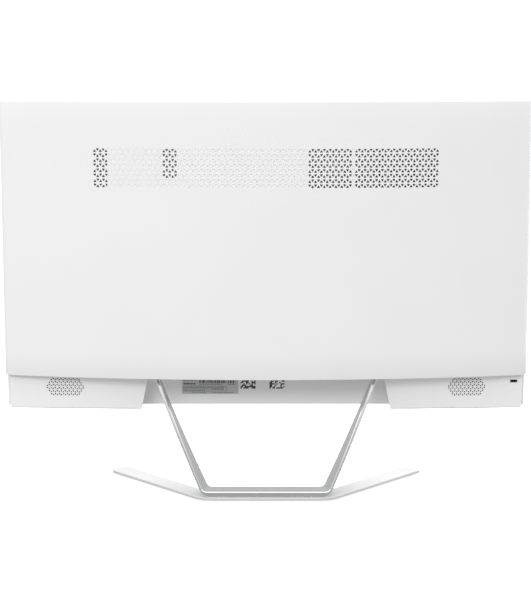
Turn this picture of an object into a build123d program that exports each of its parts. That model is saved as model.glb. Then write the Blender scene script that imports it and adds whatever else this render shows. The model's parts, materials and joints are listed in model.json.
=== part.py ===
from build123d import *
import math
import os

# All-in-one PC on a bent-bar stand.  Millimetres, +Z up, the screen faces -Y, the floor is Z = 0.
# "left" and "right" are the user's, so left is -X.

# ---------------------------------------------------------------- driving dimensions
WIDTH = 541.0                 # display unit, across
TOP_Z = 407.0                 # display unit, highest point
BOTTOM_Z = 88.0               # display unit, lowest point
FRONT_Y = -16.0               # front face of the bezel
SEAM_Y = -1.0                 # joint plane between front frame and rear covers
WALL = 2.2                    # moulded wall thickness
GAP = 0.3                     # assembly gap between neighbours
HALF_W = WIDTH / 2

# rear cover: a shallow arc in plan, deepest in the middle
COVER_BOTTOM_Z = 124.0
COVER_MID_Y = 46.0
COVER_END_Y = 19.5
COVER_END_X = 264.0
COVER_CORNER_R = 8.0
COVER_TOP_R = 1.8

# lower cover: two speaker pods either side of the cable recess
POD_MID_Y = 23.0
POD_END_Y = 13.2
POD_HALF_W = 266.0
POD_CORNER_R = 2.0
RECESS_WALL_Y = -4.8
LOWER_FRONT_Y = RECESS_WALL_Y - WALL
RECESS_HALF_BOTTOM = 129.3
RECESS_HALF_TOP = 121.5
CEILING_Z = 128.0
CEILING_T = 2.0

# visible screen area and bezel
ACTIVE_W = 527.0
ACTIVE_H = 296.5
TOP_RIM = 9.5
ACTIVE_TOP = TOP_Z - TOP_RIM
ACTIVE_BOTTOM = ACTIVE_TOP - ACTIVE_H

# vent field: rows of alternating triangles
VENT_PITCH = 5.84
VENT_ROW_H = VENT_PITCH * math.sqrt(3) / 2
VENT_ROWS = 8
VENT_COLUMNS = 119
VENT_MID_Z = 339.9
VENT_HOLE_R = 1.95

# stand: base plate, bent frame and tilt hinge
BASE_REAR_Y = 63.0
BASE_FRONT_Y = -63.0
STRIP_W = 22.0
FOOT_LIFT = 2.0
PLATE_T = 3.3
PLATE_TOP = FOOT_LIFT + PLATE_T
BAR_T = 6.0
ARM_FOOT_X = 67.3             # outer face of the arm at the bar's top
ARM_HEAD_X = 115.7            # outer face of the arm at the cover's edge
ARM_HEAD_Z = 125.0
ARM_TOP_Z = 160.0
HINGE_Y = 14.0
HINGE_Z = 146.0
SHAFT_R = 4.0
SHAFT_CLEARANCE = 0.05

# fasteners and bosses
SCREW_R = 1.5
SCREW_HEAD_R = 2.8
SCREW_HEAD_T = 1.6
BOSS_X = 98.0
BOSS_Y = 33.0
BOSS_R = 3.6
BOSS_TOP_Z = 142.0

SIDES = {"left": -1, "right": 1}
pieces = {}


# ---------------------------------------------------------------- helpers
def block(x, y, z, mode=Mode.ADD):
    """Axis-aligned block from its (low, high) limits along each axis."""
    centre = ((x[0] + x[1]) / 2, (y[0] + y[1]) / 2, (z[0] + z[1]) / 2)
    with Locations(centre):
        Box(abs(x[1] - x[0]), y[1] - y[0], z[1] - z[0], mode=mode)


def rod(start, end, radius, mode=Mode.ADD):
    """Round bar between two points."""
    a, b = Vector(*start), Vector(*end)
    with BuildSketch(Plane(origin=a, z_dir=b - a)) as section:
        Circle(radius)
    extrude(section.sketch, amount=(b - a).length, mode=mode)


def axis_rod(x, y, z, radius, mode=Mode.ADD):
    """Upright round bar at (x, y) from z[0] to z[1]."""
    rod((x, y, z[0]), (x, y, z[1]), radius, mode)


def cross_rod(x, y, z, radius, mode=Mode.ADD):
    """Round bar along X from x[0] to x[1]."""
    rod((x[0], y, z), (x[1], y, z), radius, mode)


def depth_rod(x, y, z, radius, mode=Mode.ADD):
    """Round bar along Y from y[0] to y[1]."""
    rod((x, y[0], z), (x, y[1], z), radius, mode)


def arc_profile(half_width, end_y, mid_y, front_y, corner_r):
    """Plan section with a straight front, straight sides and an arched back."""
    with BuildSketch() as section:
        with BuildLine():
            ThreePointArc((-half_width, end_y), (0, mid_y), (half_width, end_y))
            Polyline((half_width, end_y), (half_width, front_y), (-half_width, front_y), (-half_width, end_y))
        make_face()
        if corner_r > 0:
            fillet(section.vertices().group_by(Axis.Y)[-1], corner_r)
    return section.sketch


def mid_for(half_width, end_y, mid_y, wanted_half):
    """Height of a shallow arc's end when it is carried out to another half width."""
    return mid_y - (mid_y - end_y) * (wanted_half / half_width) ** 2


def disc_field(points, radius, plane, depth):
    """Cut a field of round holes through the part."""
    with BuildSketch(plane) as holes:
        with Locations(*points):
            Circle(radius)
    extrude(holes.sketch, amount=depth, mode=Mode.SUBTRACT)


# ---------------------------------------------------------------- front frame (bezel)
FRAME_LIP = 1.8
FRAME_SIDE = 3.0
FRAME_FLOOR = 3.0
BUTTON_X = 236.0
BUTTON_Y = -10.9
BUTTON_L = 12.0
BUTTON_W = 4.0
BUTTON_GAP = 0.35
CAMERA_Z = 402.6
CAMERA_HOLE_R = 1.4
MIC_X = 24.0
MIC_R = 0.6

with BuildPart() as front_frame:
    block((-HALF_W, HALF_W), (FRONT_Y, SEAM_Y), (BOTTOM_Z, TOP_Z))
    fillet(front_frame.edges().filter_by(Axis.Y), 2.0)
    block((-ACTIVE_W / 2, ACTIVE_W / 2), (FRONT_Y, SEAM_Y), (ACTIVE_BOTTOM, ACTIVE_TOP), Mode.SUBTRACT)
    block((-HALF_W + FRAME_SIDE, HALF_W - FRAME_SIDE), (FRONT_Y + FRAME_LIP, SEAM_Y),
          (BOTTOM_Z + FRAME_FLOOR, TOP_Z - WALL), Mode.SUBTRACT)
    # the floor ends where the lower cover begins
    block((-HALF_W + FRAME_SIDE, HALF_W - FRAME_SIDE), (LOWER_FRONT_Y - GAP, SEAM_Y),
          (BOTTOM_Z, COVER_BOTTOM_Z), Mode.SUBTRACT)
    with BuildSketch(Plane.XY.offset(BOTTOM_Z)):
        with Locations((BUTTON_X, BUTTON_Y)):
            SlotOverall(BUTTON_L + 2 * BUTTON_GAP, BUTTON_W + 2 * BUTTON_GAP)
    extrude(amount=FRAME_FLOOR, mode=Mode.SUBTRACT)
    disc_field([(0, CAMERA_Z)], CAMERA_HOLE_R, Plane.XZ.offset(-FRONT_Y), -FRAME_LIP)
    disc_field([(-MIC_X, CAMERA_Z), (MIC_X, CAMERA_Z)], MIC_R, Plane.XZ.offset(-FRONT_Y), -FRAME_LIP)
pieces["front_frame"] = front_frame

# ---------------------------------------------------------------- display panel stack
CELL_T = 1.5
LIGHT_T = 3.6
TRAY_T = 0.6
PANEL_MARGIN = 2.2
CELL_Y = FRONT_Y + FRAME_LIP
LIGHT_Y = CELL_Y + CELL_T
TRAY_Y = LIGHT_Y + LIGHT_T
panel_x = (-ACTIVE_W / 2 - PANEL_MARGIN, ACTIVE_W / 2 + PANEL_MARGIN)
panel_z = (ACTIVE_BOTTOM - PANEL_MARGIN, ACTIVE_TOP + PANEL_MARGIN)

with BuildPart() as lcd_cell:
    block(panel_x, (CELL_Y, LIGHT_Y), panel_z)
pieces["lcd_cell"] = lcd_cell

with BuildPart() as backlight_stack:
    block(panel_x, (LIGHT_Y, TRAY_Y), panel_z)
pieces["backlight_stack"] = backlight_stack

with BuildPart() as panel_tray:
    block((panel_x[0] - TRAY_T, panel_x[1] + TRAY_T), (CELL_Y + CELL_T, TRAY_Y + TRAY_T),
          (panel_z[0] - TRAY_T, panel_z[1] + TRAY_T))
    block(panel_x, (CELL_Y + CELL_T, TRAY_Y), panel_z, Mode.SUBTRACT)
pieces["panel_tray"] = panel_tray

DRIVER_BOARD_HALF = 110.0
DRIVER_BOARD_Y = CELL_Y + 1.0
with BuildPart() as panel_driver_board:
    block((-DRIVER_BOARD_HALF, DRIVER_BOARD_HALF), (DRIVER_BOARD_Y, DRIVER_BOARD_Y + 1.0),
          (BOTTOM_Z + 4.0, panel_z[0] - 1.5))
    with Locations((-60, DRIVER_BOARD_Y + 1.8, BOTTOM_Z + 7.5), (60, DRIVER_BOARD_Y + 1.8, BOTTOM_Z + 7.5)):
        Box(14, 1.6, 4)
pieces["panel_driver_board"] = panel_driver_board

# ---------------------------------------------------------------- rear cover
inner_mid_y = COVER_MID_Y - WALL
cover_outer_end = mid_for(COVER_END_X, COVER_END_Y, COVER_MID_Y, HALF_W)
pod_outer_end = mid_for(COVER_END_X, POD_END_Y, POD_MID_Y, POD_HALF_W)


def vent_triangles(first, last, rows):
    """Open triangles of one vent window, counted from the right-hand end and from the top row."""
    top_z = VENT_MID_Z + VENT_ROWS * VENT_ROW_H / 2
    for row in range(rows):
        row_top = top_z - row * VENT_ROW_H
        for column in range(first, last):
            x = ((VENT_COLUMNS - 1) / 2 - column) * VENT_PITCH / 2
            points_up = (row + column) % 2 == 0
            if points_up:
                yield x, row_top - VENT_ROW_H * 2 / 3, 90
            else:
                yield x, row_top - VENT_ROW_H / 3, -90


# windows as (first column, last column, rows) along the field
VENT_WINDOWS = [(0, 5, 8), (24, 29, 6), (74, 89, 8), (90, 119, 8)]

SHELF_LIFT = 0.6              # the shelves sit this far above the cover's lower edge
cavity_profile = arc_profile(
    HALF_W - WALL, cover_outer_end - WALL, inner_mid_y, SEAM_Y, COVER_CORNER_R - WALL)
pod_clearance = arc_profile(POD_HALF_W + GAP, pod_outer_end + GAP, POD_MID_Y + GAP, SEAM_Y - 1, 0)

with BuildPart() as rear_cover:
    with BuildSketch(Plane.XY.offset(COVER_BOTTOM_Z)):
        add(arc_profile(HALF_W, cover_outer_end, COVER_MID_Y, SEAM_Y, COVER_CORNER_R))
    extrude(amount=TOP_Z - COVER_BOTTOM_Z)
    top_rear = rear_cover.faces().sort_by(Axis.Z)[-1].edges().filter_by(
        lambda edge: edge.center().Y > SEAM_Y + GAP)
    fillet(top_rear, COVER_TOP_R)
    with BuildSketch(Plane.XY.offset(COVER_BOTTOM_Z)):
        add(cavity_profile)
    extrude(amount=TOP_Z - WALL - COVER_BOTTOM_Z, mode=Mode.SUBTRACT)
    # shelf that closes the overhang above each speaker pod
    for side in SIDES.values():
        with BuildSketch(Plane.XY.offset(COVER_BOTTOM_Z + SHELF_LIFT)):
            add(cavity_profile)
            add(pod_clearance, mode=Mode.SUBTRACT)
            with Locations((side * (RECESS_HALF_TOP + HALF_W) / 2, (SEAM_Y + COVER_MID_Y) / 2)):
                Rectangle(HALF_W - RECESS_HALF_TOP, 2 * COVER_MID_Y, mode=Mode.INTERSECT)
        extrude(amount=WALL)
        # boss for the screw that comes up through the ceiling
        boss_x = sorted((side * (BOSS_X - BOSS_R), side * (BOSS_X + BOSS_R)))
        block(boss_x, (BOSS_Y - BOSS_R, inner_mid_y - 3.0), (CEILING_Z + CEILING_T + GAP, BOSS_TOP_Z))
        axis_rod(side * BOSS_X, BOSS_Y, (CEILING_Z, BOSS_TOP_Z - WALL), SCREW_R, Mode.SUBTRACT)
    with BuildSketch(Plane.XZ):
        for window in VENT_WINDOWS:
            for x, z, turn in vent_triangles(*window):
                with Locations((x, z)):
                    RegularPolygon(VENT_HOLE_R, 3, rotation=turn)
    extrude(amount=-2 * COVER_MID_Y, mode=Mode.SUBTRACT)
pieces["rear_cover"] = rear_cover


# ---------------------------------------------------------------- lower cover (pods, recess wall, ceiling)
GRILLE_X = 208.3
GRILLE_Z = 111.1
GRILLE_HALF_W = 19.8
GRILLE_HALF_H = 11.8
GRILLE_ROWS = 6
GRILLE_PITCH = 4.15
GRILLE_ROW_H = 3.18
GRILLE_HOLE_R = 1.2
LOCK_X = -257.5
LOCK_Z = 116.5
LOCK_L = 7.6
LOCK_H = 3.2
PORT_HALF_W = 92.0
PORT_FRONT_Y = 3.0
PORT_REAR_Y = 21.0
SLOT_INNER_X = 104.0
SLOT_OUTER_X = 119.5
SLOT_FRONT_Y = 10.0
SLOT_REAR_Y = 35.0


def recess_outline(inset):
    """Front view of the cable recess between the pods, widening downwards."""
    low, high = BOTTOM_Z - 10, CEILING_Z + 12
    flare = (RECESS_HALF_BOTTOM - RECESS_HALF_TOP) / (COVER_BOTTOM_Z - BOTTOM_Z)
    low_half = RECESS_HALF_BOTTOM + inset + flare * (BOTTOM_Z - low)
    high_half = RECESS_HALF_BOTTOM + inset - flare * (high - BOTTOM_Z)
    with BuildSketch(Plane.XZ.offset(-RECESS_WALL_Y)) as section:
        with BuildLine():
            Polyline((-low_half, low), (low_half, low), (high_half, high), (-high_half, high), close=True)
        make_face()
    return section.sketch


def grille_points():
    """Grille holes inside the oval field, as (x, z, turn): rows of triangles, point up and point down."""
    columns = int(2 * GRILLE_HALF_W / GRILLE_PITCH) + 1
    for row in range(GRILLE_ROWS):
        row_z = (row - (GRILLE_ROWS - 1) / 2) * GRILLE_ROW_H
        for column in range(-columns, columns + 1):
            x = column * GRILLE_PITCH / 2
            points_up = (row + column) % 2 == 0
            if (x / GRILLE_HALF_W) ** 2 + (row_z / GRILLE_HALF_H) ** 2 <= 1:
                yield x, row_z + GRILLE_ROW_H / (-6 if points_up else 6), 90 if points_up else -90


# inner side walls of the pods, following the recess outline
with BuildPart() as side_walls:
    extrude(recess_outline(WALL), amount=-2 * POD_MID_Y)
    extrude(recess_outline(0), amount=-2 * POD_MID_Y, mode=Mode.SUBTRACT)
    with BuildSketch(Plane.XY.offset(BOTTOM_Z)) as envelope:
        add(arc_profile(POD_HALF_W, pod_outer_end, POD_MID_Y, 2 * RECESS_WALL_Y, 0))
    extrude(envelope.sketch, amount=CEILING_Z + CEILING_T - BOTTOM_Z, mode=Mode.INTERSECT)

with BuildPart() as lower_cover:
    with BuildSketch(Plane.XY.offset(BOTTOM_Z)):
        add(arc_profile(POD_HALF_W, pod_outer_end, POD_MID_Y, LOWER_FRONT_Y, POD_CORNER_R))
    extrude(amount=CEILING_Z + CEILING_T - BOTTOM_Z)
    fillet(lower_cover.edges().group_by(Axis.Z)[0].sort_by(Axis.Y)[-1], 1.5)
    with BuildSketch(Plane.XY.offset(BOTTOM_Z + WALL)):
        add(arc_profile(POD_HALF_W - WALL, pod_outer_end - WALL, POD_MID_Y - WALL, LOWER_FRONT_Y, 0))
    extrude(amount=CEILING_Z + CEILING_T - BOTTOM_Z, mode=Mode.SUBTRACT)
    extrude(recess_outline(WALL), amount=-2 * POD_MID_Y, mode=Mode.SUBTRACT)
    add(side_walls.part)
    # recess wall and ceiling
    block((-RECESS_HALF_BOTTOM - WALL, RECESS_HALF_BOTTOM + WALL), (RECESS_WALL_Y - WALL, RECESS_WALL_Y),
          (BOTTOM_Z, CEILING_Z + CEILING_T))
    with BuildSketch(Plane.XY.offset(CEILING_Z)):
        add(arc_profile(RECESS_HALF_TOP, inner_mid_y - 6.0, inner_mid_y - GAP, RECESS_WALL_Y, 0))
    extrude(amount=CEILING_T)
    block((-PORT_HALF_W, PORT_HALF_W), (PORT_FRONT_Y, PORT_REAR_Y),
          (CEILING_Z, CEILING_Z + CEILING_T), Mode.SUBTRACT)
    for side in SIDES.values():
        slot_x = sorted((side * SLOT_INNER_X, side * SLOT_OUTER_X))
        block(slot_x, (SLOT_FRONT_Y, SLOT_REAR_Y), (CEILING_Z, CEILING_Z + CEILING_T), Mode.SUBTRACT)
        axis_rod(side * BOSS_X, BOSS_Y, (CEILING_Z, CEILING_Z + CEILING_T), SCREW_R, Mode.SUBTRACT)
        with BuildSketch(Plane.XZ):
            for x, z, turn in grille_points():
                with Locations((side * GRILLE_X + x, GRILLE_Z + z)):
                    RegularPolygon(GRILLE_HOLE_R, 3, rotation=turn)
        extrude(amount=-2 * POD_MID_Y, mode=Mode.SUBTRACT)
    block((LOCK_X - LOCK_L / 2, LOCK_X + LOCK_L / 2), (SEAM_Y, 2 * POD_MID_Y),
          (LOCK_Z - LOCK_H / 2, LOCK_Z + LOCK_H / 2), Mode.SUBTRACT)
pieces["lower_cover"] = lower_cover

# ---------------------------------------------------------------- stand base, feet and frame
STRIP_MID_Y = BASE_REAR_Y - STRIP_W / 2
BEND_X = 61.5
TIP_REACH = 5.34              # from the middle of the tip's edge to its foremost point
WING_TIP = (160.7, BASE_FRONT_Y + TIP_REACH)
BEND_R = 16.0
TIP_R = 5.0
FOOT_R = 6.0
FOOT_T = 2.8
FOOT_FIT = 0.1
foot_places = [(side * x, y) for side in SIDES.values() for x, y in ((152.0, -47.0), (66.0, 46.0))]
screw_places = [(side * x, STRIP_MID_Y) for side in SIDES.values() for x in (15.0, 45.0)]
STAND_SCREW_R = 2.0
STAND_SCREW_L = 7.5
STAND_SCREW_HEAD_T = 1.6

with BuildPart() as base_plate:
    with BuildSketch(Plane.XY.offset(FOOT_LIFT)) as strip:
        with BuildLine():
            FilletPolyline((-WING_TIP[0], WING_TIP[1]), (-BEND_X, STRIP_MID_Y), (BEND_X, STRIP_MID_Y),
                           WING_TIP, radius=BEND_R)
        trace(line_width=STRIP_W)
        fillet(strip.vertices().group_by(Axis.Y)[0] + strip.vertices().filter_by(
            lambda corner: abs(corner.X) > WING_TIP[0] + 4), TIP_R)
    extrude(amount=PLATE_T)
    fillet(base_plate.faces().sort_by(Axis.Z)[-1].edges(), 0.8)
    with Locations(*[(x, y, FOOT_LIFT + (FOOT_T - FOOT_LIFT) / 2) for x, y in foot_places]):
        Cylinder(FOOT_R + FOOT_FIT, FOOT_T - FOOT_LIFT, mode=Mode.SUBTRACT)
    for x, y in screw_places:
        rod((x, y, 0), (x, y, PLATE_TOP), STAND_SCREW_R + FOOT_FIT, Mode.SUBTRACT)
        pocket_top_z = FOOT_LIFT + STAND_SCREW_HEAD_T + GAP / 2
        axis_rod(x, y, (0, pocket_top_z), 2 * STAND_SCREW_R + FOOT_FIT, Mode.SUBTRACT)
pieces["base_plate"] = base_plate

with BuildPart() as rubber_feet:
    with Locations(*[(x, y, FOOT_T / 2) for x, y in foot_places]):
        Cylinder(FOOT_R, FOOT_T)
pieces["rubber_feet"] = rubber_feet

BAR_TOP = PLATE_TOP + BAR_T
ARM_LEAN = (ARM_HEAD_X - ARM_FOOT_X) / (ARM_HEAD_Z - BAR_TOP)
ARM_FOOT_T = 3.0              # arm thickness across X at its foot, at the rear
ARM_FOOT_FLARE = 0.227        # and how fast it grows towards the front
ARM_HEAD_T = 4.4              # arm thickness at its head, at the front
ARM_HEAD_FLARE = 0.064
corner_x = ARM_FOOT_X - ARM_LEAN * BAR_T
# the arms rise upright from the bar and sweep forward towards the hinge
ARM_REAR = [(BASE_REAR_Y, BAR_TOP), (49.0, 75.0), (27.5, ARM_HEAD_Z)]
ARM_FRONT = [(BASE_REAR_Y - STRIP_W, BAR_TOP), (32.5, 75.0), (15.0, ARM_HEAD_Z)]
ARM_TOP_Y = (5.0, 25.0)
ARM_SHOULDER_Z = 141.0
leaf_screw_zs = (HINGE_Z - 8, HINGE_Z + 8)

def opening_profile(y):
    """Front view, at depth y, of the space between the arms, which narrows towards the front."""
    foot_half = ARM_FOOT_X - ARM_FOOT_T - ARM_FOOT_FLARE * (BASE_REAR_Y - y)
    head_half = ARM_HEAD_X - ARM_HEAD_T - ARM_HEAD_FLARE * (ARM_FRONT[-1][0] - y)
    with BuildSketch(Plane.XZ.offset(-y)) as section:
        with BuildLine():
            Polyline((-foot_half, BAR_TOP), (foot_half, BAR_TOP), (head_half, ARM_HEAD_Z + 1),
                     (-head_half, ARM_HEAD_Z + 1), close=True)
        make_face()
        fillet(section.vertices().group_by(Axis.Y)[0], 6.0)
    return section.sketch


with BuildPart() as frame_opening:
    loft(sections=[opening_profile(BASE_REAR_Y + 5), opening_profile(0)], ruled=True)

with BuildPart() as stand_frame:
    with BuildSketch(Plane.XZ.offset(-BASE_REAR_Y - 5)) as front_profile:
        with BuildLine():
            Polyline((-ARM_HEAD_X, ARM_TOP_Z), (-ARM_HEAD_X, ARM_HEAD_Z), (-corner_x, PLATE_TOP),
                     (corner_x, PLATE_TOP), (ARM_HEAD_X, ARM_HEAD_Z), (ARM_HEAD_X, ARM_TOP_Z),
                     (ARM_HEAD_X - ARM_HEAD_T, ARM_TOP_Z), (ARM_HEAD_X - ARM_HEAD_T, ARM_HEAD_Z),
                     (-ARM_HEAD_X + ARM_HEAD_T, ARM_HEAD_Z), (-ARM_HEAD_X + ARM_HEAD_T, ARM_TOP_Z),
                     close=True)
        make_face()
        fillet(front_profile.vertices().group_by(Axis.Y)[0], 12.0)
    extrude(amount=BASE_REAR_Y + 5)
    add(frame_opening.part, mode=Mode.SUBTRACT)
    with BuildSketch(Plane.YZ.offset(-ARM_HEAD_X)):
        with BuildLine():
            Polyline(ARM_FRONT[0], (ARM_FRONT[0][0], PLATE_TOP), (ARM_REAR[0][0], PLATE_TOP), ARM_REAR[0])
            ThreePointArc(*ARM_REAR)
            Polyline(ARM_REAR[-1], (ARM_TOP_Y[1], ARM_TOP_Z), (ARM_TOP_Y[0], ARM_TOP_Z),
                     (ARM_TOP_Y[0], ARM_SHOULDER_Z), ARM_FRONT[-1])
            ThreePointArc(*ARM_FRONT)
        make_face()
    extrude(amount=2 * ARM_HEAD_X, mode=Mode.INTERSECT)
    for x, y in screw_places:
        thread_end_z = FOOT_LIFT + STAND_SCREW_L + 0.5
        axis_rod(x, y, (PLATE_TOP, thread_end_z), STAND_SCREW_R + FOOT_FIT / 2, Mode.SUBTRACT)
    for z in leaf_screw_zs:
        cross_rod((-ARM_HEAD_X, ARM_HEAD_X), HINGE_Y, z, SCREW_R + FOOT_FIT / 2, Mode.SUBTRACT)
pieces["stand_frame"] = stand_frame

with BuildPart() as base_screws:
    for x, y in screw_places:
        rod((x, y, FOOT_LIFT), (x, y, FOOT_LIFT + STAND_SCREW_L), STAND_SCREW_R)
        rod((x, y, FOOT_LIFT), (x, y, FOOT_LIFT + STAND_SCREW_HEAD_T), 2 * STAND_SCREW_R)
        rod((x, y, FOOT_LIFT), (x, y, FOOT_LIFT + STAND_SCREW_HEAD_T), STAND_SCREW_R / 2, Mode.SUBTRACT)
pieces["base_screws"] = base_screws

# ---------------------------------------------------------------- tilt hinge, one at each arm
LEAF_T = 2.0
LEAF_OUTER_X = ARM_HEAD_X - ARM_HEAD_T
LEAF_INNER_X = LEAF_OUTER_X - LEAF_T
LEAF_Y = (6.0, 24.0)
LEAF_Z = (133.0, 159.0)
KNUCKLE_X = (90.0, 102.0)
KNUCKLE_HALF = 8.0
NUT_X = (82.0, 86.0)
NUT_R = 6.5
WASHER_T = 1.5
WASHER_PITCH = 1.7
CHASSIS_Y = (-6.0, -5.0)
BRACKET_T = 2.0
BRACKET_X = (84.0, 108.0)
BRACKET_Z = (136.0, 198.0)
bracket_screw_places = [(x, z) for x in (88.0, 104.0) for z in (168.0, 190.0)]

for name, side in SIDES.items():
    with BuildPart() as hinge_leaf:
        leaf_x = sorted((side * LEAF_INNER_X, side * LEAF_OUTER_X))
        block(leaf_x, LEAF_Y, LEAF_Z)
        cross_rod(leaf_x, HINGE_Y, HINGE_Z, SHAFT_R, Mode.SUBTRACT)
        for z in leaf_screw_zs:
            cross_rod(leaf_x, HINGE_Y, z, SCREW_R + FOOT_FIT / 2, Mode.SUBTRACT)
    pieces["hinge_leaf_" + name] = hinge_leaf

    with BuildPart() as hinge_shaft:
        shaft_x = sorted((side * NUT_X[0], side * LEAF_OUTER_X))
        cross_rod(shaft_x, HINGE_Y, HINGE_Z, SHAFT_R)
    pieces["hinge_shaft_" + name] = hinge_shaft

    with BuildPart() as hinge_bracket:
        bracket_y = (CHASSIS_Y[1], CHASSIS_Y[1] + BRACKET_T)
        block(sorted(side * x for x in BRACKET_X), bracket_y, BRACKET_Z)
        block(sorted(side * x for x in KNUCKLE_X), (CHASSIS_Y[1], HINGE_Y + KNUCKLE_HALF),
              (HINGE_Z - KNUCKLE_HALF, HINGE_Z + KNUCKLE_HALF))
        fillet(hinge_bracket.edges().filter_by(Axis.X).group_by(Axis.Y)[-1], KNUCKLE_HALF - 2)
        cross_rod(shaft_x, HINGE_Y, HINGE_Z, SHAFT_R + SHAFT_CLEARANCE, Mode.SUBTRACT)
        for x, z in bracket_screw_places:
            depth_rod(side * x, bracket_y, z, SCREW_R + FOOT_FIT, Mode.SUBTRACT)
    pieces["hinge_bracket_" + name] = hinge_bracket

with BuildPart() as hinge_nuts:
    for side in SIDES.values():
        with BuildSketch(Plane.YZ.offset(side * NUT_X[0])):
            with Locations((HINGE_Y, HINGE_Z)):
                RegularPolygon(NUT_R, 6)
                Circle(SHAFT_R, mode=Mode.SUBTRACT)
        extrude(amount=side * (NUT_X[1] - NUT_X[0]))
pieces["hinge_nuts"] = hinge_nuts

with BuildPart() as hinge_washers:
    for side in SIDES.values():
        first_x = NUT_X[1] + WASHER_PITCH - WASHER_T
        for start in (first_x, first_x + WASHER_PITCH):
            cross_rod((side * start, side * (start + WASHER_T)), HINGE_Y, HINGE_Z, NUT_R)
        cross_rod((side * NUT_X[0], side * KNUCKLE_X[0]), HINGE_Y, HINGE_Z,
                  SHAFT_R + SHAFT_CLEARANCE, Mode.SUBTRACT)
pieces["hinge_washers"] = hinge_washers

with BuildPart() as leaf_screws:
    for side in SIDES.values():
        for z in leaf_screw_zs:
            head_x = LEAF_INNER_X - SCREW_HEAD_T
            cross_rod((side * head_x, side * LEAF_INNER_X), HINGE_Y, z, SCREW_HEAD_R)
            cross_rod((side * LEAF_INNER_X, side * (ARM_HEAD_X - 0.2)), HINGE_Y, z, SCREW_R)
pieces["leaf_screws"] = leaf_screws

with BuildPart() as bracket_screws:
    face_y = CHASSIS_Y[1] + BRACKET_T
    for side in SIDES.values():
        for x, z in bracket_screw_places:
            depth_rod(side * x, (face_y, face_y + SCREW_HEAD_T), z, SCREW_HEAD_R)
            depth_rod(side * x, (CHASSIS_Y[0] - 1.0, face_y), z, SCREW_R)
pieces["bracket_screws"] = bracket_screws

# ---------------------------------------------------------------- chassis plate
CHASSIS_HALF_W = HALF_W - FRAME_SIDE - GAP
CHASSIS_Z = (CEILING_Z + CEILING_T + 1.0, TOP_Z - WALL - GAP)
BOARD_X = (-78.0, 78.0)
BOARD_Z = (136.0, 306.0)
BOARD_Y = 0.0
BOARD_T = 1.6
BOARD_FACE_Y = BOARD_Y + BOARD_T
RIBBON_X = (-40.0, -12.0)
board_screw_places = [(x, z) for x in (-72.0, 72.0) for z in (150.0, 225.0, 300.0)]
FAN_X = -140.0
FAN_Z = 276.0
fan_post_places = [(FAN_X - 30.0, FAN_Z - 30.0), (FAN_X + 30.0, FAN_Z - 30.0), (FAN_X, FAN_Z + 41.0)]

# lightening windows, as (x, z) of their middles
window_places = [(-215.0, 200.0), (-215.0, 300.0), (235.0, 200.0), (150.0, 330.0), (235.0, 310.0),
                 (0.0, 352.0)]
WINDOW_SIZE = (40.0, 4.0, 60.0)
RIBBON_TOP_Z = 310.0
chassis_x = (-CHASSIS_HALF_W, CHASSIS_HALF_W)

with BuildPart() as chassis_plate:
    block(chassis_x, (CHASSIS_Y[0], SEAM_Y - GAP), CHASSIS_Z)
    block((chassis_x[0] + 1.0, chassis_x[1] - 1.0), (CHASSIS_Y[1], SEAM_Y),
          (CHASSIS_Z[0] + 1.0, CHASSIS_Z[1] - 1.0), Mode.SUBTRACT)
    # the lower flange is left off so that the ports and the pods can pass
    block(chassis_x, (CHASSIS_Y[1], SEAM_Y), (CHASSIS_Z[0], CHASSIS_Z[0] + 2.0), Mode.SUBTRACT)
    with Locations(*[(x, CHASSIS_Y[0], z) for x, z in window_places]):
        Box(*WINDOW_SIZE, mode=Mode.SUBTRACT)
    ribbon_slot_x = (RIBBON_X[0] - 1.5, RIBBON_X[1] + 1.5)
    block(ribbon_slot_x, CHASSIS_Y, (RIBBON_TOP_Z - 2, RIBBON_TOP_Z + 2), Mode.SUBTRACT)
    for side in SIDES.values():
        for x, z in bracket_screw_places:
            depth_rod(side * x, CHASSIS_Y, z, SCREW_R + FOOT_FIT / 2, Mode.SUBTRACT)
pieces["chassis_plate"] = chassis_plate

# arched sheet just inside the cover, behind the embossed part of the vent field
SHIELD_SHEET_T = 0.8
SHIELD_DEPTH = 4.0
SHIELD_X = (20.0, 176.0)
SHIELD_Z = (312.0, 368.0)
SHIELD_LEG_X = (30.0, 110.0)
shield_end_y = cover_outer_end - WALL - SHIELD_DEPTH
shield_mid_y = inner_mid_y - SHIELD_DEPTH

with BuildPart() as inner_shield:
    with BuildSketch(Plane.XY.offset(SHIELD_Z[0])) as shield_plan:
        add(arc_profile(HALF_W, shield_end_y, shield_mid_y, SEAM_Y, 0))
        add(arc_profile(HALF_W, shield_end_y - SHIELD_SHEET_T, shield_mid_y - SHIELD_SHEET_T, SEAM_Y, 0),
            mode=Mode.SUBTRACT)
        with Locations(((SHIELD_X[0] + SHIELD_X[1]) / 2, COVER_MID_Y / 2)):
            Rectangle(SHIELD_X[1] - SHIELD_X[0], COVER_MID_Y, mode=Mode.INTERSECT)
    extrude(shield_plan.sketch, amount=SHIELD_Z[1] - SHIELD_Z[0])
    for x in SHIELD_LEG_X:
        leg_end_y = mid_for(HALF_W, shield_end_y, shield_mid_y, x) - SHIELD_SHEET_T / 2
        block((x, x + SHIELD_SHEET_T), (CHASSIS_Y[1], leg_end_y), (SHIELD_Z[0] + 4.0, SHIELD_Z[0] + 24.0))
pieces["inner_shield"] = inner_shield

with BuildPart() as standoffs:
    for x, z in board_screw_places + fan_post_places:
        rod((x, CHASSIS_Y[1], z), (x, BOARD_Y, z), 2.6)
pieces["standoffs"] = standoffs

with BuildPart() as board_screws:
    for x, z in board_screw_places:
        rod((x, BOARD_FACE_Y, z), (x, BOARD_FACE_Y + SCREW_HEAD_T, z), SCREW_HEAD_R)
pieces["board_screws"] = board_screws

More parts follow.
